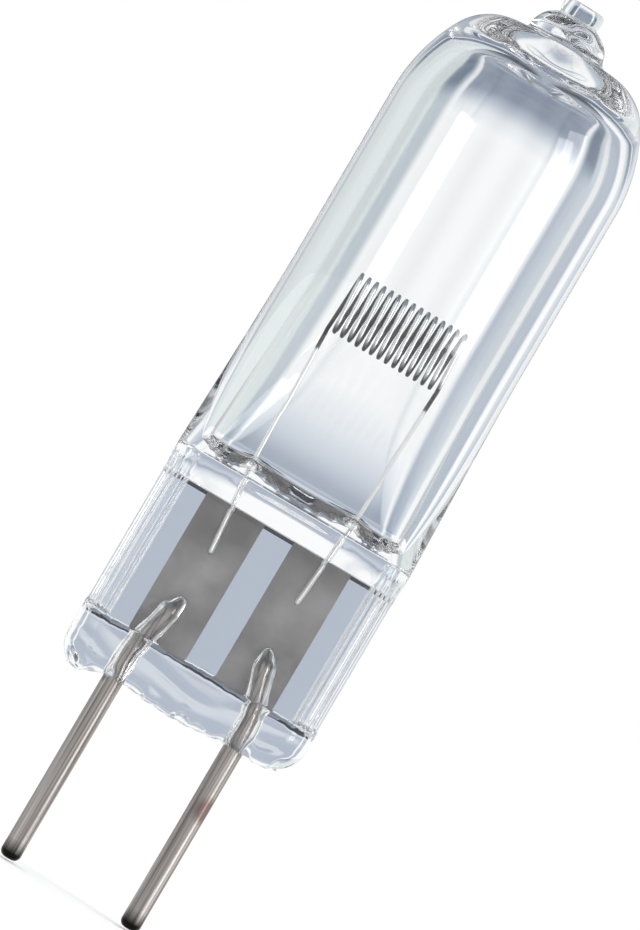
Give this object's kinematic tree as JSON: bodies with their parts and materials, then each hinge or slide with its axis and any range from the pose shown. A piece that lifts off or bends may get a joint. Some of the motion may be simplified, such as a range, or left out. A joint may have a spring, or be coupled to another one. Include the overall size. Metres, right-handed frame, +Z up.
{
  "type": "halogen capsule bulb",
  "caption": "Clear quartz capsule bulb with a domed crown, melted tip, flat coiled filament and a flattened pinch seal on a pair of straight contact pins.",
  "frame": {"origin": "midway between the two pins, on the plane where they leave the quartz", "axes": "+Z up along the bulb's axis towards the tip, +X from the left pin to the right pin, -Y the face of the pinch that the picture shows"},
  "size_m": [0.0122, 0.0118, 0.0469],
  "materials": {
    "quartz": "clear fused quartz, fire polished, with pressed marks at the pinch",
    "tungsten_wire": "drawn tungsten wire, bright grey",
    "molybdenum_foil": "rolled molybdenum foil, mottled grey",
    "molybdenum_rod": "drawn molybdenum rod with fine lengthwise lines and a darkened tip"
  },
  "bodies": {
    "root": {"quartz_envelope": "quartz", "filament": "tungsten_wire", "left_foil": "molybdenum_foil", "right_foil": "molybdenum_foil", "left_pin": "molybdenum_rod", "right_pin": "molybdenum_rod"}
  },
  "joints": []
}
